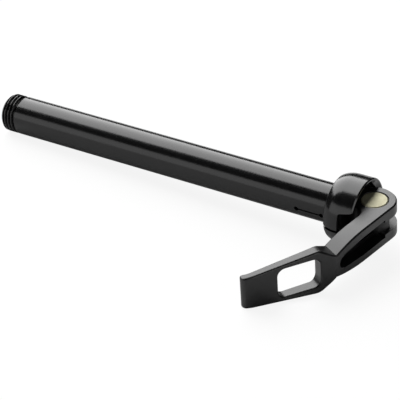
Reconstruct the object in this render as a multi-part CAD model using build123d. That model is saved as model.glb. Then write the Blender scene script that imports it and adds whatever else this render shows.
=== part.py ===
import math
import os

from build123d import *

os.makedirs("parts", exist_ok=True)

# Bicycle thru axle with a cam lever that draws a cone into the slit end of the hollow shaft.
# Lengths are in millimetres. X runs along the axle towards the lever, Z is the lever pivot.
# The origin is the centre of the flat seat under the head; the closed lever points to -Y.

# Shaft
axle_length = 148.0
shaft_d = 15.0
shaft_wall = 2.0
end_chamfer = 0.3

# Core of the thread at the far end of the shaft
thread_depth = 0.92
thread_length = 5.8
relief_width = 1.2

# Head
head_length = 12.0
cup_wall = 2.3
cup_depth = 8.3
crown_length = 5.4
crown_r = 10.0
shoulder_r = 1.2
rim_chamfer = 0.4
rim_flat = 0.5
notch_depth = 5.5
notch_play = 0.15
notch_flare = 12.0
notch_corner_r = 0.8
saw_width = 1.2
axle_turn = 8.3

# Slit that lets the shaft spread
slit_hole_d = 1.8
slit_width = 0.7
slit_offset = 2.95
slit_length = 10.4

# Cone, draw rod and spring inside the shaft
rod_d = 5.0
web_back = 1.6
taper_angle = 6.0
cone_length = 5.6
spring_length = 6.0
spring_wire_width = 0.8
spring_wire_thick = 0.5
spring_turns = 2
rod_head_length = 4.5
rod_chamfer = 0.5
hex_size = 4.0
hex_depth = 2.6

# Cross barrel
barrel_d = 10.0
barrel_overhang = 3.1
barrel_chamfer = 0.35
rod_in_barrel = 3.0

# Lever
lever_height = 14.0
eye_r = 8.2
cam_rise = 1.0
cam_arcs = 5
cam_margin = 5.0
lever_swing = 110.0
arm_lean = 9.2
eye_back_end = 240.0
eye_to_arms = 9.5
arm_width = 7.0
neck_r = 3.6
neck_flat = 0.1
neck_height = 8.7
bend_reach = 33.9
bend_r = 8.5
inner_bend_r = 6.0
paddle_angle = 35.8
paddle_root = 5.9
paddle_length = 30.0
paddle_thick = 4.4
tip_thick = 3.3
paddle_height = 18.0
tip_height = 12.6
tip_curl_length = 5.0
tip_curl = 1.0
tip_outer_r = 1.8
tip_inner_r = 1.0
flare_length = 7.2
flare_r = 5.0
window_start = -0.4
window_length = 16.5
window_height = 11.9
window_corner_r = 3.0
window_chamfer = 0.5
boss_r = 7.0
slot_floor = -1.5
pocket_start = 4.5
pocket_end = 31.6
pocket_height = 7.6
pocket_depth = 4.6
pocket_straight = 17.4
pocket_end_height = 5.7
pocket_end_r = 2.7
pocket_scoop = 1.2
edge_chamfer = 0.5
bore_chamfer = 0.35
paddle_edge_r = 0.8

# Clearances
rod_slide_gap = 0.06
thread_gap = 0.02
cone_gap = 0.05
shoe_radial_gap = 0.05
shoe_axial_gap = 0.03
cam_gap = 0.03
pivot_gap = 0.05
spring_end_gap = 0.02
spring_side_gap = 0.5
slot_gap = 0.1
eye_swing_gap = 0.05

# How far cutters stand clear of a surface
cut_over = 1.0

# How near an edge lies to the line it is picked by, and how well it follows a direction
pick_gap = 0.01
root_skip = 0.2
same_way = 0.9

# Values that follow from the ones above
shaft_r = shaft_d / 2
bore_r = shaft_r - shaft_wall
rod_r = rod_d / 2
half_height = lever_height / 2
barrel_r = barrel_d / 2
barrel_x = head_length + barrel_overhang
cam_high = eye_r + cam_rise
cam_rate = cam_rise / math.radians(lever_swing)
eye_mid_r = eye_r + cam_rise / 2
eye_half_chord = math.sqrt(eye_mid_r**2 - (barrel_overhang - cam_rise) ** 2)
cup_r = math.hypot(eye_half_chord, half_height) + eye_swing_gap
head_r = cup_r + cup_wall
mouth_r = head_r - rim_chamfer - rim_flat
cup_floor_x = head_length - cup_depth
notch_floor_x = head_length - notch_depth
slit_near_x = -slit_offset
slit_far_x = slit_near_x - slit_length
taper_slope = math.tan(math.radians(taper_angle))
taper_start_x = slit_far_x - slit_hole_d / 2
cone_front_x = -web_back - spring_length
cone_back_x = cone_front_x - cone_length


def polar(radius, direction):
    a = math.radians(direction)
    return (radius * math.cos(a), radius * math.sin(a))


def taper_r(x):
    return bore_r - taper_slope * (x - taper_start_x)


def turned(points):
    outline = make_face(Polyline(points, close=True))
    return revolve(outline, Axis.X, 360)


# Axle body: hollow shaft with the core of its thread, and cupped head in one piece
thread_end_x = -axle_length
relief_end_x = thread_end_x + thread_length + relief_width
core_r = shaft_r - thread_depth
relief_slope = relief_width / 4
crown_y = head_r - crown_r
shoulder_apart = crown_r - shoulder_r
shoulder_y = crown_y + math.sqrt(shoulder_apart**2 - (crown_length - shoulder_r) ** 2)
crown_angle = math.degrees(math.asin((crown_length - shoulder_r) / shoulder_apart))
shaft_edges = Polyline(
    (cup_floor_x, rod_r + rod_slide_gap),
    (-web_back, rod_r + rod_slide_gap),
    (-web_back, taper_r(-web_back)),
    (taper_start_x, bore_r),
    (thread_end_x, bore_r),
    (thread_end_x, core_r - end_chamfer),
    (thread_end_x + end_chamfer, core_r),
    (relief_end_x - relief_slope, core_r),
    (relief_end_x, shaft_r),
    (0, shaft_r),
    (0, shoulder_y),
)
shoulder_arc = CenterArc((shoulder_r, shoulder_y), shoulder_r, 90 + crown_angle, 90 - crown_angle)
crown_arc = CenterArc((crown_length, crown_y), crown_r, 90, crown_angle)
head_edges = Polyline(
    (crown_length, head_r),
    (head_length - rim_chamfer, head_r),
    (head_length, head_r - rim_chamfer),
    (head_length, mouth_r),
    (head_length - mouth_r + cup_r, cup_r),
    (cup_floor_x, cup_r),
    (cup_floor_x, rod_r + rod_slide_gap),
)
axle_outline = make_face([shaft_edges, shoulder_arc, crown_arc, head_edges])
axle_body = revolve(axle_outline, Axis.X, 360)

# Slit through both walls with a drilled hole at each end
slit_reach = shaft_d + 2 * cut_over
slit = Pos((slit_near_x + slit_far_x) / 2, 0, 0) * Box(slit_length, slit_reach, slit_width)
for hole_x in (slit_near_x, slit_far_x):
    slit += Pos(hole_x, 0, 0) * Rot(X=90) * Cylinder(slit_hole_d / 2, slit_reach)
axle_body -= Rot(X=axle_turn) * slit

# Drive notch in the head wall, wide enough for the lever, and the saw cut that meets it
notch_half = half_height + notch_play
notch_top_x = head_length + cut_over
notch_top_half = notch_half + math.tan(math.radians(notch_flare)) * (notch_top_x - notch_floor_x)
notch_face = make_face(
    Polyline(
        (notch_floor_x, -notch_half),
        (notch_top_x, -notch_top_half),
        (notch_top_x, notch_top_half),
        (notch_floor_x, notch_half),
        close=True,
    )
)
notch_face = fillet(notch_face.vertices().group_by(Axis.X)[0], notch_corner_r)
notch = Pos(0, -cup_r / 2, 0) * extrude(Plane.XZ * notch_face, amount=head_r)
saw_reach = head_r - shaft_r
saw_length = notch_floor_x + saw_width
saw_box = Box(saw_length + saw_width, 2 * saw_reach, saw_width)
saw_cut = Pos((saw_length - saw_width) / 2, -head_r, 0) * saw_box
axle_body -= Rot(X=axle_turn) * (notch + saw_cut)

# Cam shoe: the bearing disc in the bottom of the cup
shoe_top_x = barrel_x - cam_high - cam_gap
shoe_bottom_x = cup_floor_x + shoe_axial_gap
shoe_r = cup_r - shoe_radial_gap
shoe_edge = (shoe_top_x - shoe_bottom_x) / 5
cam_shoe = turned(
    [
        (shoe_bottom_x, rod_r + rod_slide_gap),
        (shoe_bottom_x, shoe_r),
        (shoe_top_x - shoe_edge, shoe_r),
        (shoe_top_x, shoe_r - shoe_edge),
        (shoe_top_x, rod_r + rod_slide_gap),
    ]
)

# Expander cone
cone_offset = cone_gap / math.cos(math.radians(taper_angle))
expander_cone = turned(
    [
        (cone_back_x, rod_r + thread_gap),
        (cone_back_x, taper_r(cone_back_x) - cone_offset),
        (cone_front_x, taper_r(cone_front_x) - cone_offset),
        (cone_front_x, rod_r + thread_gap),
    ]
)

# Draw rod: a long screw with a hex socket, its head behind the cone
rod_tip_x = barrel_x + rod_in_barrel
rod_head_x = cone_back_x - rod_head_length
rod_head_r = (rod_r + taper_r(cone_back_x)) / 2 + rod_chamfer
draw_rod = turned(
    [
        (rod_head_x, 0),
        (rod_head_x, rod_head_r - rod_chamfer),
        (rod_head_x + rod_chamfer, rod_head_r),
        (cone_back_x, rod_head_r),
        (cone_back_x, rod_r),
        (rod_tip_x - rod_chamfer, rod_r),
        (rod_tip_x, rod_r - rod_chamfer),
        (rod_tip_x, 0),
    ]
)
hex_face = Plane.YZ * RegularPolygon(hex_size / 2, 6, major_radius=False)
draw_rod -= Pos(rod_head_x, 0, 0) * extrude(hex_face, amount=hex_depth)

# Release spring between the cone and the web under the cup
spring_from = cone_front_x + spring_end_gap + spring_wire_thick / 2
spring_to = -web_back - spring_end_gap - spring_wire_thick / 2
spring_rise = spring_to - spring_from
spring_r = rod_r + spring_side_gap + spring_wire_width / 2
coil = Helix(
    spring_rise / spring_turns,
    spring_rise,
    spring_r,
    center=(spring_from, 0, 0),
    direction=(1, 0, 0),
)
coil_start = coil @ 0
outward = Vector(0, coil_start.Y, coil_start.Z).normalized()
wire_plane = Plane(origin=coil_start, x_dir=outward, z_dir=coil % 0)
wire = Rectangle(spring_wire_width, spring_wire_thick)
release_spring = sweep(wire_plane * wire, path=coil, is_frenet=True)

# Cross barrel with the tapped hole for the rod
cam_barrel = Cylinder(barrel_r, lever_height)
cam_barrel = chamfer(cam_barrel.edges().filter_by(GeomType.CIRCLE), barrel_chamfer)
rod_hole_depth = barrel_r + rod_in_barrel + rod_chamfer
rod_hole = Cylinder(rod_r + thread_gap, rod_hole_depth, align=(Align.CENTER, Align.CENTER, Align.MIN))
cam_barrel -= Pos(-barrel_r, 0, 0) * Rot(Y=90) * rod_hole
cam_barrel = Pos(barrel_x, 0, 0) * cam_barrel


# Lever, drawn about the barrel axis and then set in place
# Cam edge: arcs whose centres step round a small circle, so the reach falls evenly as it opens
cam_span = (lever_swing + 2 * cam_margin) / cam_arcs
cam_gain = 2 * cam_rate * math.sin(math.radians(cam_span / 2))
cam_closed_end = 180.0 + cam_margin
cam_open_end = cam_closed_end - cam_span * cam_arcs
cam_first_r = cam_high - cam_rate * math.sin(math.radians(cam_closed_end - cam_span / 2))


def cam_arc(index):
    middle = cam_closed_end - cam_span * (index + 0.5)
    centre = polar(cam_rate, middle + 90)
    return CenterArc(centre, cam_first_r - index * cam_gain, middle - cam_span / 2, cam_span)


def crossing(point, way, other_point, other_way):
    apart = other_point - point
    turn = way.X * other_way.Y - way.Y * other_way.X
    return point + way * ((apart.X * other_way.Y - apart.Y * other_way.X) / turn)


cam_edges = [cam_arc(index) for index in range(cam_arcs)]
cam_closed_point = cam_edges[0] @ 1
cam_open_point = cam_edges[-1] @ 0
front_r = cam_open_point.dot(Vector(*polar(1, cam_open_end)))

# Arms: a straight band that leaves the eye on a tangent
arm_dir = Vector(*polar(1, 270 - arm_lean))
arm_out = Vector(*polar(1, -arm_lean))
arm_outer_top = arm_out * front_r
arm_inner_line = arm_out * (front_r - arm_width)
bend_point = arm_outer_top + arm_dir * bend_reach

# Paddle: bent in from the arms and thinner at the tip
paddle_dir = Vector(*polar(1, 270 - paddle_angle))
paddle_in = Vector(*polar(1, 180 - paddle_angle))
paddle_origin = bend_point + paddle_dir * paddle_root
root_back = paddle_origin + paddle_in * paddle_thick
curl_front = paddle_origin + paddle_dir * (paddle_length - tip_curl_length)
curl_back = curl_front + paddle_in * tip_thick
back_dir = (root_back - curl_back).normalized()
curl_angle = 2 * math.degrees(math.atan2(tip_curl, tip_curl_length))
tip_front = curl_front + paddle_dir * tip_curl_length + paddle_in * tip_curl
tip_back = tip_front + Vector(*polar(tip_thick, 180 - paddle_angle - curl_angle))
inner_corner = crossing(root_back, back_dir, arm_inner_line, arm_dir)

# Plan of the whole lever, seen along the pivot
eye_front = CenterArc((0, 0), front_r, -arm_lean, cam_open_end + arm_lean)
eye_back = TangentArc(
    cam_closed_point,
    polar(eye_r, eye_back_end),
    tangent=cam_edges[0] % 1,
)
inner_top = crossing(eye_back @ 1, eye_back % 1, arm_inner_line, arm_dir)
plan = make_face(
    cam_edges
    + [
        eye_back,
        Line(eye_back @ 1, inner_top),
        Line(inner_top, inner_corner),
        Line(inner_corner, curl_back),
        TangentArc(curl_back, tip_back, tangent=-back_dir),
        Line(tip_back, tip_front),
        TangentArc(curl_front, tip_front, tangent=paddle_dir),
        Line(curl_front, bend_point),
        Line(bend_point, arm_outer_top),
        eye_front,
        Line(eye_front @ 1, cam_open_point),
    ]
)
# The neck's fillet leaves a little of the straight between the eye and the arm
neck_straight = (inner_top - eye_back @ 1).length - neck_flat
neck_turn = math.radians((eye_back % 1).get_angle(arm_dir))
neck_room = neck_straight / math.tan(neck_turn / 2)
plan = fillet(plan.vertices().sort_by_distance(inner_top)[0], min(neck_r, neck_room))
plan = fillet(plan.vertices().sort_by_distance(bend_point)[0], bend_r)
plan = fillet(plan.vertices().sort_by_distance(inner_corner)[0], inner_bend_r)
plan = fillet(plan.vertices().sort_by_distance(tip_front)[0], tip_outer_r)
plan = fillet(plan.vertices().sort_by_distance(tip_back)[0], tip_inner_r)
blank = extrude(plan, amount=paddle_height, both=True)

# Side shape of the arms, seen along X
neck_half = neck_height / 2
waist_y = -eye_r - eye_to_arms
neck_y = bend_point.Y
arm_top = TangentArc((waist_y, half_height), (neck_y, neck_half), tangent=(-1, 0))
arm_side = make_face(
    [
        arm_top,
        Line((neck_y, neck_half), (neck_y, -neck_half)),
        mirror(arm_top, Plane.XZ),
        Line((waist_y, -half_height), (waist_y, half_height)),
    ]
)
arm_mask = extrude(Plane.YZ * arm_side, amount=2 * bend_reach, both=True)
eye_mask = Pos(0, waist_y, 0) * Box(
    4 * eye_r,
    4 * eye_r,
    lever_height,
    align=(Align.CENTER, Align.MIN, Align.CENTER),
)


def rim(shape, least_z, low_y, high_y):
    picked = []
    for edge in shape.edges():
        middle = edge.center()
        if abs(middle.Z) > least_z and low_y < middle.Y < high_y:
            if edge.bounding_box().size.Y > pick_gap:
                picked.append(edge)
    return picked


eye = blank & eye_mask
eye = chamfer(rim(eye, half_height - pick_gap, waist_y + pick_gap, 4 * eye_r), edge_chamfer)
arms = blank & arm_mask
arms = chamfer(rim(arms, neck_half - pick_gap, neck_y + pick_gap, waist_y - pick_gap), edge_chamfer)

# Face shape of the paddle, seen square to it
root_half = paddle_height / 2
tip_half = tip_height / 2
mask_end = paddle_length + tip_thick
mask_half = tip_half - (root_half - tip_half) * tip_thick / paddle_length
paddle_face = make_face(
    Polyline(
        (-flare_length, neck_half),
        (0, root_half),
        (mask_end, mask_half),
        (mask_end, -mask_half),
        (0, -root_half),
        (-flare_length, -neck_half),
        close=True,
    )
)
paddle_corners = paddle_face.vertices().group_by(Axis.X)
paddle_face = fillet(paddle_corners[1], flare_r)
paddle_plane = Plane(
    origin=(paddle_origin.X, paddle_origin.Y, 0),
    x_dir=(paddle_dir.X, paddle_dir.Y, 0),
    z_dir=(paddle_in.X, paddle_in.Y, 0),
)
paddle_mask = extrude(paddle_plane * paddle_face, amount=arm_width * 2, both=True)
paddle = blank & paddle_mask
paddle_rim = []
for edge in paddle.edges():
    way = edge % 0.5
    reach = (edge.center() - paddle_plane.origin).dot(paddle_dir)
    across = abs(way.dot(paddle_in)) > same_way and reach < paddle_length - tip_outer_r
    upright = abs(way.Z) > same_way
    above = edge.center().Z > 0
    if above and reach > root_skip - flare_length and not across and not upright:
        paddle_rim.append(edge)
paddle = split(fillet(paddle_rim, paddle_edge_r), bisect_by=Plane.XY, keep=Keep.TOP)
paddle += mirror(paddle, Plane.XY)
lever = eye + arms + paddle

# Finger window
window_face = RectangleRounded(window_length, window_height, window_corner_r)
window_plane = paddle_plane * Pos(window_start + window_length / 2, 0)
lever -= extrude(window_plane * window_face, amount=arm_width * 2, both=True)
window_edges = []
for edge in lever.edges():
    place = paddle_plane.to_local_coords(edge.center())
    inside = window_start - pick_gap < place.X < window_start + window_length + pick_gap
    if abs(place.Z) < pick_gap and inside and abs(place.Y) < window_height / 2 + pick_gap:
        window_edges.append(edge)
lever = chamfer(window_edges, window_chamfer)

# Hollow in the outer face between the arms, with a scooped end, up to the boss round the pivot
pocket_half = pocket_height / 2
pocket_end_half = pocket_end_height / 2
pocket_face = make_face(
    Polyline(
        (pocket_start, -pocket_half),
        (pocket_start, pocket_half),
        (pocket_straight, pocket_half),
        (pocket_end - pocket_end_r, pocket_end_half),
        (pocket_end - pocket_end_r, -pocket_end_half),
        (pocket_straight, -pocket_half),
        close=True,
    )
)
pocket_plane = Plane(
    origin=(arm_outer_top.X, arm_outer_top.Y, 0),
    x_dir=(arm_dir.X, arm_dir.Y, 0),
    z_dir=(arm_out.X, arm_out.Y, 0),
)
pocket = extrude(pocket_plane * Pos(0, 0, -pocket_depth) * pocket_face, amount=2 * pocket_depth)
scoop_place = pocket_plane * Pos(pocket_end - pocket_end_r, 0, -pocket_scoop)
pocket += scoop_place * Sphere(pocket_end_r)
slot_half = rod_r + slot_gap
groove = Pos(0, -front_r, 0) * Box(
    4 * eye_r,
    2 * front_r,
    2 * slot_half,
    align=(Align.MIN, Align.CENTER, Align.CENTER),
)
boss = Cylinder(boss_r, 2 * lever_height)
lever -= (pocket + groove) - boss

# Pivot bore and the slot that the rod swings through
lever_bore_r = barrel_r + pivot_gap
lever -= Cylinder(lever_bore_r, 2 * lever_height)
bore_edges = []
for edge in lever.edges().filter_by(GeomType.CIRCLE):
    if abs(edge.radius - lever_bore_r) < pick_gap:
        if abs(edge.center().Z) > half_height - pick_gap:
            bore_edges.append(edge)
lever = chamfer(bore_edges, bore_chamfer)
slot_reach = 2 * cam_high
slot = Pos(0, slot_floor + slot_reach / 2, 0) * Box(2 * slot_reach, slot_reach, 2 * slot_half)
slot += Pos(-slot_reach / 2, slot_reach / 2 - slot_half, 0) * Box(slot_reach, slot_reach, 2 * slot_half)
lever -= slot
lever = Pos(barrel_x, 0, 0) * lever

export_step(axle_body, "parts/axle_body.step")
export_step(cam_shoe, "parts/cam_shoe.step")
export_step(expander_cone, "parts/expander_cone.step")
export_step(draw_rod, "parts/draw_rod.step")
export_step(release_spring, "parts/release_spring.step")
export_step(cam_barrel, "parts/cam_barrel.step")
export_step(lever, "parts/lever.step")
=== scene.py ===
import math

import bmesh
import bpy
from mathutils import Matrix, Vector


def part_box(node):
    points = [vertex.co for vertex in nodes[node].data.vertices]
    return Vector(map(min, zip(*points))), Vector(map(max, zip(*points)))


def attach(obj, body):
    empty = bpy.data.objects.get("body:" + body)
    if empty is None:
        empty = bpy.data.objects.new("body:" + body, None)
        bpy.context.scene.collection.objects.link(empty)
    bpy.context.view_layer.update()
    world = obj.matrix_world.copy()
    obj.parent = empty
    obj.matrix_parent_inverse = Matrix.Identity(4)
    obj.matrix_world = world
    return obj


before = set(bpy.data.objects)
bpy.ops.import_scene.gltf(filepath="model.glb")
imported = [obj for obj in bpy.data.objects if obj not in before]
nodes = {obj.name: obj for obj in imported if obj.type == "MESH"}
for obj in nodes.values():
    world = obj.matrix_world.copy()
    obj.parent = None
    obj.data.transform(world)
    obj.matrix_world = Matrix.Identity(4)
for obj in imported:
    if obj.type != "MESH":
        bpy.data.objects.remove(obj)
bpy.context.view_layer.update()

# Photograph: the viewing angle and framing, in degrees and metres, with the lens
# and the width of the film behind it in millimetres
VIEW_AZIMUTH = 33.708
VIEW_ELEVATION = 34.163
VIEW_ROLL = 4.026
VIEW_TARGET = Vector((-0.04703, -0.01986, 0.0))
VIEW_DISTANCE = 0.7312
VIEW_LENS = 177.84
VIEW_FILM = 36.0
VIEW_NEAR = 0.01

# Lamps: distances and sizes are in metres, angles are measured round the axle, from
# straight up towards the viewer, and a slope is the shift along the axle for each
# metre away from it
KEY_ANGLE = -31.5
KEY_DISTANCE = 2.5
KEY_SLOPE = -0.78
KEY_SIZE = (2.9, 4.2)
KEY_RADIANCE = 5.2
CARD_ANGLE = 73.0
CARD_DISTANCE = 1.5
CARD_SLOPE = -0.66
CARD_SIZE = (1.3, 1.2)
CARD_RADIANCE = 1.45
FILL_ANGLE = 30.0
FILL_DISTANCE = 1.2
FILL_SLOPE = 2.2
FILL_SIZE = (1.5, 1.5)
FILL_RADIANCE = 2.2
WORLD_LEVEL = 0.02

# Floor: as the camera sees it, as reflections show it, and as it throws light back,
# with the rounds of the search for the plane that the part rests on
FLOOR_SIZE = 8.0
FLOOR_GLOW = 0.88
FLOOR_SHADE = 0.12
MIRROR_GLOW = 0.05
MIRROR_SHADE = 0.62
FLOOR_BOUNCE = 0.75
REST_TRIES = 4

# Thread on the core at the tip of the shaft, in metres, with its steps in a turn, the
# spare turns at each end and the least angle of a sharp edge in degrees
THREAD_TIP_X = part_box("axle_body")[0][0]
THREAD_LENGTH = 0.0058
THREAD_PITCH = 0.0015
THREAD_R = 0.0075
THREAD_CORE_R = 0.00658
THREAD_CREST = 0.0002
THREAD_ROOT = 0.00018
THREAD_SUNK = 0.0001
THREAD_CHAMFER = 0.0003
THREAD_SLOPE = 0.0003
THREAD_STEPS = 96
THREAD_SPARE = 1
THREAD_SHARP = 30.0

# Patterns: a higher scale is finer, depths and widths are in metres, a pair of values
# or colours is a range, and marks have the axis that they follow each other along
# and a scale
TONE_RAMP = (0.35, 0.75)
NOISE_ROUGHNESS = 0.6
MOTTLE_DETAIL = 4.0
ROUGH_DETAIL = 6.0
GRAIN_DETAIL = 3.0
BAND_DISTORTION = 1.5
BAND_DETAIL = 3.0
BAND_DETAIL_SCALE = 2.0

# Black anodised pieces
BLACK = ((0.003, 0.003, 0.0032, 1.0), (0.006, 0.006, 0.0063, 1.0))
EDGE_WORN = (0.03, 0.03, 0.031, 1.0)
EDGE_WIDTH = 0.00025
EDGE_SAMPLES = 6
EDGE_TURN = (0.8, 0.98)
EDGE_BREAKS = (0.35, 0.65)
EDGE_BREAK_SCALE = 700.0
EDGE_BREAK_DETAIL = 5.0
AXLE_MOTTLE = 220.0
AXLE_ROUGH = (0.14, 0.22)
AXLE_ROUGH_SCALE = 90.0
AXLE_SPECULAR = 0.44
AXLE_MARKS = ("X", 900.0)
AXLE_MARK_STRENGTH = 0.05
AXLE_GRAIN = 9000.0
AXLE_GRAIN_DETAIL = 2.0
AXLE_GRAIN_STRENGTH = 0.06
AXLE_DEPTH = 0.00002
LEVER_MOTTLE = 300.0
LEVER_ROUGH = (0.3, 0.4)
LEVER_ROUGH_SCALE = 140.0
LEVER_SPECULAR = 0.55
LEVER_GRAIN = 6000.0
LEVER_GRAIN_STRENGTH = 0.12
LEVER_GRAIN_DEPTH = 0.00003
LEVER_RIPPLE = 500.0
LEVER_RIPPLE_STRENGTH = 0.05
LEVER_RIPPLE_DEPTH = 0.00005

# Bare metal pieces
METAL_MOTTLE = 400.0
METAL_ROUGH_SCALE = 250.0
METAL_MARK_STRENGTH = 0.08
METAL_MARK_DEPTH = 0.00003
STEEL = ((0.42, 0.42, 0.43, 1.0), (0.55, 0.55, 0.56, 1.0))
STEEL_ROUGH = (0.25, 0.4)
STEEL_MARKS = ("X", 1200.0)
SPRING = ((0.38, 0.38, 0.4, 1.0), (0.5, 0.5, 0.52, 1.0))
SPRING_ROUGH = (0.2, 0.35)
SPRING_MARKS = ("X", 2500.0)
BRASS = ((0.53, 0.51, 0.38, 1.0), (0.65, 0.63, 0.48, 1.0))
BRASS_ROUGH = (0.65, 0.8)
BRASS_MARKS = ("Z", 1500.0)

# Moulded shoe in the bottom of the cup
SHOE = ((0.02, 0.02, 0.02, 1.0), (0.035, 0.035, 0.035, 1.0))
SHOE_MOTTLE = 500.0
SHOE_ROUGH = (0.5, 0.65)
SHOE_ROUGH_SCALE = 300.0
SHOE_GRAIN = 4000.0
SHOE_GRAIN_STRENGTH = 0.15
SHOE_GRAIN_DEPTH = 0.00004


class Nodes:
    """A material's node tree, with short calls to add and join nodes."""

    def __init__(self, name):
        self.material = bpy.data.materials.new(name)
        self.material.use_nodes = True
        self.tree = self.material.node_tree
        self.shader = self.tree.nodes["Principled BSDF"]
        self.output = self.tree.nodes["Material Output"]

    def add(self, kind, **settings):
        node = self.tree.nodes.new(kind)
        for key, value in settings.items():
            setattr(node, key, value)
        return node

    def join(self, source, target):
        self.tree.links.new(source, target)

    def place(self):
        return self.add("ShaderNodeTexCoord").outputs["Object"]

    def noise(self, scale, detail=MOTTLE_DETAIL):
        texture = self.add("ShaderNodeTexNoise")
        texture.inputs["Scale"].default_value = scale
        texture.inputs["Detail"].default_value = detail
        texture.inputs["Roughness"].default_value = NOISE_ROUGHNESS
        self.join(self.place(), texture.inputs["Vector"])
        return texture.outputs["Fac"]

    def spread(self, value, low, high, start=0.0, end=1.0):
        """Maps a pattern that runs from start to end onto low to high."""
        node = self.add("ShaderNodeMapRange")
        node.inputs["From Min"].default_value = start
        node.inputs["From Max"].default_value = end
        node.inputs["To Min"].default_value = low
        node.inputs["To Max"].default_value = high
        self.join(value, node.inputs["Value"])
        return node.outputs["Result"]

    def colours(self, value, tones):
        ramp = self.add("ShaderNodeValToRGB")
        for stop, position, tone in zip(ramp.color_ramp.elements, TONE_RAMP, tones):
            stop.position = position
            stop.color = tone
        self.join(value, ramp.inputs["Fac"])
        return ramp.outputs["Color"]

    def times(self, first, second):
        node = self.add("ShaderNodeMath", operation="MULTIPLY")
        self.join(first, node.inputs[0])
        self.join(second, node.inputs[1])
        return node.outputs[0]

    def edges(self, width):
        """1 along the sharp edges of the shape, 0 on its faces, broken up by a fine pattern."""
        soft = self.add("ShaderNodeBevel", samples=EDGE_SAMPLES)
        soft.inputs["Radius"].default_value = width
        flat = self.add("ShaderNodeNewGeometry").outputs["Normal"]
        alike = self.add("ShaderNodeVectorMath", operation="DOT_PRODUCT")
        self.join(soft.outputs["Normal"], alike.inputs[0])
        self.join(flat, alike.inputs[1])
        line = self.spread(alike.outputs["Value"], 1.0, 0.0, *EDGE_TURN)
        breaks = self.noise(EDGE_BREAK_SCALE, EDGE_BREAK_DETAIL)
        return self.times(line, self.spread(breaks, 0.0, 1.0, *EDGE_BREAKS))

    def worn(self, colour, mask, under):
        """Lays the colour under a worn surface over it where the mask is 1."""
        mix = self.add("ShaderNodeMix", data_type="RGBA")
        sockets = [s for s in mix.inputs if s.type == "RGBA"]
        sockets[1].default_value = under
        self.join(mask, mix.inputs["Factor"])
        self.join(colour, sockets[0])
        return [s for s in mix.outputs if s.type == "RGBA"][0]

    def bump(self, height, strength, distance, below=None):
        node = self.add("ShaderNodeBump")
        node.inputs["Strength"].default_value = strength
        node.inputs["Distance"].default_value = distance
        self.join(height, node.inputs["Height"])
        if below is not None:
            self.join(below, node.inputs["Normal"])
        return node.outputs["Normal"]

    def bands(self, direction, scale):
        """Fine parallel marks, as a cutting tool leaves them."""
        wave = self.add("ShaderNodeTexWave", wave_type="BANDS", bands_direction=direction)
        wave.inputs["Scale"].default_value = scale
        wave.inputs["Distortion"].default_value = BAND_DISTORTION
        wave.inputs["Detail"].default_value = BAND_DETAIL
        wave.inputs["Detail Scale"].default_value = BAND_DETAIL_SCALE
        self.join(self.place(), wave.inputs["Vector"])
        return wave.outputs["Fac"]


def anodised(name, mottle, rough, rough_scale, specular):
    """Black anodised aluminium without its bump, a little paler at the worn edges."""
    m = Nodes(name)
    black = m.colours(m.noise(mottle), BLACK)
    m.join(m.worn(black, m.edges(EDGE_WIDTH), EDGE_WORN), m.shader.inputs["Base Color"])
    sheen = m.spread(m.noise(rough_scale, ROUGH_DETAIL), *rough)
    m.join(sheen, m.shader.inputs["Roughness"])
    m.shader.inputs["Specular IOR Level"].default_value = specular
    return m


def anodised_axle():
    m = anodised("anodised_axle", AXLE_MOTTLE, AXLE_ROUGH, AXLE_ROUGH_SCALE, AXLE_SPECULAR)
    marks = m.bump(m.bands(*AXLE_MARKS), AXLE_MARK_STRENGTH, AXLE_DEPTH)
    grain = m.noise(AXLE_GRAIN, AXLE_GRAIN_DETAIL)
    both = m.bump(grain, AXLE_GRAIN_STRENGTH, AXLE_DEPTH, marks)
    m.join(both, m.shader.inputs["Normal"])
    return m.material


def anodised_lever():
    m = anodised("anodised_lever", LEVER_MOTTLE, LEVER_ROUGH, LEVER_ROUGH_SCALE, LEVER_SPECULAR)
    grain = m.noise(LEVER_GRAIN, GRAIN_DETAIL)
    grain = m.bump(grain, LEVER_GRAIN_STRENGTH, LEVER_GRAIN_DEPTH)
    ripple = m.noise(LEVER_RIPPLE, GRAIN_DETAIL)
    both = m.bump(ripple, LEVER_RIPPLE_STRENGTH, LEVER_RIPPLE_DEPTH, grain)
    m.join(both, m.shader.inputs["Normal"])
    return m.material


def turned_metal(name, tones, rough, marks):
    m = Nodes(name)
    m.join(m.colours(m.noise(METAL_MOTTLE), tones), m.shader.inputs["Base Color"])
    sheen = m.spread(m.noise(METAL_ROUGH_SCALE, ROUGH_DETAIL), *rough)
    m.join(sheen, m.shader.inputs["Roughness"])
    tooled = m.bump(m.bands(*marks), METAL_MARK_STRENGTH, METAL_MARK_DEPTH)
    m.join(tooled, m.shader.inputs["Normal"])
    m.shader.inputs["Metallic"].default_value = 1.0
    return m.material


def shoe_plastic():
    m = Nodes("shoe_plastic")
    m.join(m.colours(m.noise(SHOE_MOTTLE), SHOE), m.shader.inputs["Base Color"])
    m.join(m.spread(m.noise(SHOE_ROUGH_SCALE), *SHOE_ROUGH), m.shader.inputs["Roughness"])
    grain = m.noise(SHOE_GRAIN, GRAIN_DETAIL)
    grain = m.bump(grain, SHOE_GRAIN_STRENGTH, SHOE_GRAIN_DEPTH)
    m.join(grain, m.shader.inputs["Normal"])
    return m.material


def paint(piece, material):
    slots = piece.data.materials
    slots.clear()
    slots.append(material)


def new_piece(name, shape):
    """An object made from a bmesh, with its faces turned outwards."""
    bmesh.ops.recalc_face_normals(shape, faces=shape.faces)
    mesh = bpy.data.meshes.new(name)
    shape.to_mesh(mesh)
    shape.free()
    piece = bpy.data.objects.new(name, mesh)
    bpy.context.collection.objects.link(piece)
    return piece


def on_axle(x, radius, turn):
    return (x, radius * math.cos(turn), radius * math.sin(turn))


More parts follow.
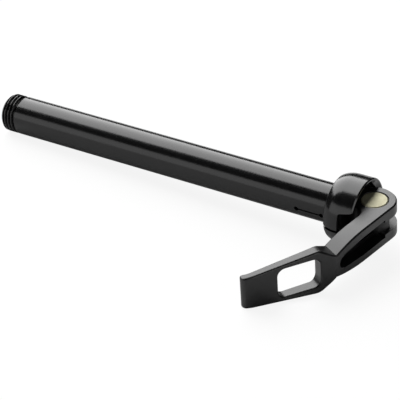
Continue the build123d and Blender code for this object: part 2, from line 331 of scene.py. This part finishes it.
def swept(shape, rows, closed):
    """Skins rows of points, each a closed section, and caps the ends of an open run."""
    rings = [[shape.verts.new(point) for point in row] for row in rows]
    ends = rings[1:] + rings[:1] if closed else rings[1:]
    for here, there in zip(rings, ends):
        for i in range(len(here)):
            j = (i + 1) % len(here)
            shape.faces.new((here[i], here[j], there[j], there[i]))
    if not closed:
        shape.faces.new(rings[0])
        shape.faces.new(rings[-1])


def thread_ridge():
    """Right-handed ridge, longer than the thread by the spare turns at each end."""
    crest = THREAD_CREST / 2
    root = THREAD_PITCH / 2 - THREAD_ROOT / 2
    flank = (root - crest) / (THREAD_R - THREAD_CORE_R)
    foot = root + flank * THREAD_SUNK
    foot_r = THREAD_CORE_R - THREAD_SUNK
    section = [(-foot, foot_r), (-crest, THREAD_R), (crest, THREAD_R), (foot, foot_r)]
    turns = THREAD_LENGTH / THREAD_PITCH + 2 * THREAD_SPARE
    rows = []
    for step in range(round(turns * THREAD_STEPS) + 1):
        x = THREAD_TIP_X + THREAD_PITCH * (step / THREAD_STEPS - THREAD_SPARE)
        turn = 2 * math.pi * step / THREAD_STEPS
        rows.append([on_axle(x + along, radius, turn) for along, radius in section])
    shape = bmesh.new()
    swept(shape, rows, closed=False)
    return new_piece("thread", shape)


def thread_limits():
    """Ring that cuts the ridge off: the tip's chamfer and the side of the relief."""
    low_r = THREAD_CORE_R - 2 * THREAD_SUNK
    top_r = THREAD_R + THREAD_SUNK
    tip = THREAD_TIP_X + THREAD_CHAMFER
    relief = THREAD_TIP_X + THREAD_LENGTH
    outline = [
        (tip - (THREAD_CORE_R - low_r), low_r),
        (tip + (top_r - THREAD_CORE_R), top_r),
        (relief, top_r),
        (relief + THREAD_SLOPE, low_r),
    ]
    rows = []
    for step in range(THREAD_STEPS):
        turn = 2 * math.pi * step / THREAD_STEPS
        rows.append([on_axle(x, radius, turn) for x, radius in outline])
    shape = bmesh.new()
    swept(shape, rows, closed=True)
    return new_piece("thread_limits", shape)


def cut_thread(material):
    thread = thread_ridge()
    limits = thread_limits()
    trim = thread.modifiers.new("trim", "BOOLEAN")
    trim.operation = "INTERSECT"
    trim.solver = "EXACT"
    trim.object = limits
    made = thread.evaluated_get(bpy.context.evaluated_depsgraph_get())
    mesh = bpy.data.meshes.new_from_object(made)
    thread.modifiers.clear()
    thread.data = mesh
    bpy.data.objects.remove(limits)
    mesh.shade_smooth()
    mesh.set_sharp_from_angle(angle=math.radians(THREAD_SHARP))
    paint(thread, material)
    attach(thread, "axle")


def dress():
    axle = anodised_axle()
    steel = turned_metal("steel", STEEL, STEEL_ROUGH, STEEL_MARKS)
    spring = turned_metal("spring_steel", SPRING, SPRING_ROUGH, SPRING_MARKS)
    brass = turned_metal("brass", BRASS, BRASS_ROUGH, BRASS_MARKS)
    paint(nodes["axle_body"], axle)
    paint(nodes["lever"], anodised_lever())
    paint(nodes["cam_shoe"], shoe_plastic())
    paint(nodes["draw_rod"], steel)
    paint(nodes["expander_cone"], steel)
    paint(nodes["release_spring"], spring)
    paint(nodes["cam_barrel"], brass)
    cut_thread(axle)


def corners(node):
    return [Vector(v.co) for v in nodes[node].data.vertices]


def rest_plane():
    """Unit normal and a point of the plane that the tip, the head and the lever lie on."""
    axle = corners("axle_body")
    half = (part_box("axle_body")[0][0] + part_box("axle_body")[1][0]) / 2
    groups = [
        [p for p in axle if p.x < half],
        [p for p in axle if p.x > half],
        corners("lever"),
    ]
    normal = Vector((0, 0, 1))
    for _ in range(REST_TRIES):
        tip, head, lever = [min(group, key=normal.dot) for group in groups]
        normal = (head - tip).cross(lever - tip).normalized()
        if normal.z < 0:
            normal.negate()
    return normal, head


def grey(level):
    return (level, level, level, 1)


def floor_look(m, glow_level, shade_level):
    """An even glow, plus a matte part that takes the shadow."""
    glow = m.add("ShaderNodeEmission")
    glow.inputs["Strength"].default_value = glow_level
    shade = m.add("ShaderNodeBsdfDiffuse")
    shade.inputs["Color"].default_value = grey(shade_level)
    both = m.add("ShaderNodeAddShader")
    m.join(glow.outputs[0], both.inputs[0])
    m.join(shade.outputs[0], both.inputs[1])
    return both.outputs[0]


def floor_choice(m, ray, otherwise, look):
    """Shows one look to one kind of ray, and the other look to the rest."""
    mix = m.add("ShaderNodeMixShader")
    m.join(ray, mix.inputs["Fac"])
    m.join(otherwise, mix.inputs[1])
    m.join(look, mix.inputs[2])
    return mix.outputs[0]


def floor_material():
    m = Nodes("floor")
    path = m.add("ShaderNodeLightPath")
    mirrored = m.add("ShaderNodeMath", operation="MAXIMUM")
    m.join(path.outputs["Is Glossy Ray"], mirrored.inputs[0])
    m.join(path.outputs["Is Transmission Ray"], mirrored.inputs[1])
    bounce = m.add("ShaderNodeBsdfDiffuse")
    bounce.inputs["Color"].default_value = grey(FLOOR_BOUNCE)
    reflected = floor_look(m, MIRROR_GLOW, MIRROR_SHADE)
    direct = floor_look(m, FLOOR_GLOW, FLOOR_SHADE)
    look = floor_choice(m, mirrored.outputs[0], bounce.outputs[0], reflected)
    look = floor_choice(m, path.outputs["Is Camera Ray"], look, direct)
    m.join(look, m.output.inputs["Surface"])
    m.tree.nodes.remove(m.shader)
    return m.material


def lay_floor():
    normal, point = rest_plane()
    turn = Vector((0, 0, 1)).rotation_difference(normal)
    half = FLOOR_SIZE / 2
    mesh = bpy.data.meshes.new("floor")
    square = [(-half, -half, 0), (half, -half, 0), (half, half, 0), (-half, half, 0)]
    mesh.from_pydata([turn @ Vector(p) + point for p in square], [], [(0, 1, 2, 3)])
    floor = bpy.data.objects.new("floor", mesh)
    bpy.context.collection.objects.link(floor)
    mesh.materials.append(floor_material())


def lamp(name, angle, distance, slope, size, radiance):
    """A soft box that faces the axle from a given angle round it."""
    around = math.radians(angle)
    place = Vector((slope * distance, -distance * math.sin(around), distance * math.cos(around)))
    light = bpy.data.lights.new(name, "AREA")
    light.shape = "RECTANGLE"
    light.size, light.size_y = size
    light.energy = math.pi * size[0] * size[1] * radiance
    box = bpy.data.objects.new(name, light)
    back = place.normalized()
    side = Vector((1, 0, 0))
    side = (side - back * side.dot(back)).normalized()
    up = back.cross(side)
    box.matrix_world = Matrix((side, up, back)).transposed().to_4x4()
    box.location = place
    bpy.context.collection.objects.link(box)


def light_studio():
    lamp("key", KEY_ANGLE, KEY_DISTANCE, KEY_SLOPE, KEY_SIZE, KEY_RADIANCE)
    lamp("front_card", CARD_ANGLE, CARD_DISTANCE, CARD_SLOPE, CARD_SIZE, CARD_RADIANCE)
    lamp("side_fill", FILL_ANGLE, FILL_DISTANCE, FILL_SLOPE, FILL_SIZE, FILL_RADIANCE)
    world = bpy.data.worlds.new("studio")
    world.use_nodes = True
    sky = world.node_tree.nodes["Background"]
    sky.inputs["Color"].default_value = grey(1)
    sky.inputs["Strength"].default_value = WORLD_LEVEL
    bpy.context.scene.world = world


def set_camera():
    azimuth = math.radians(VIEW_AZIMUTH)
    elevation = math.radians(VIEW_ELEVATION)
    roll = math.radians(VIEW_ROLL)
    level = math.cos(elevation)
    back = Vector((math.sin(azimuth) * level, -math.cos(azimuth) * level, math.sin(elevation)))
    right = Vector((math.cos(azimuth), math.sin(azimuth), 0))
    up = back.cross(right)
    tilted_up = up * math.cos(roll) + right * math.sin(roll)
    tilted_right = tilted_up.cross(back)
    data = bpy.data.cameras.new("camera")
    data.lens = VIEW_LENS
    data.sensor_width = VIEW_FILM
    data.clip_start = VIEW_NEAR
    camera = bpy.data.objects.new("camera", data)
    camera.matrix_world = Matrix((tilted_right, tilted_up, back)).transposed().to_4x4()
    camera.location = VIEW_TARGET + back * VIEW_DISTANCE
    bpy.context.collection.objects.link(camera)
    bpy.context.scene.camera = camera


dress()
lay_floor()
light_studio()
set_camera()
bpy.context.scene.view_settings.view_transform = "Standard"
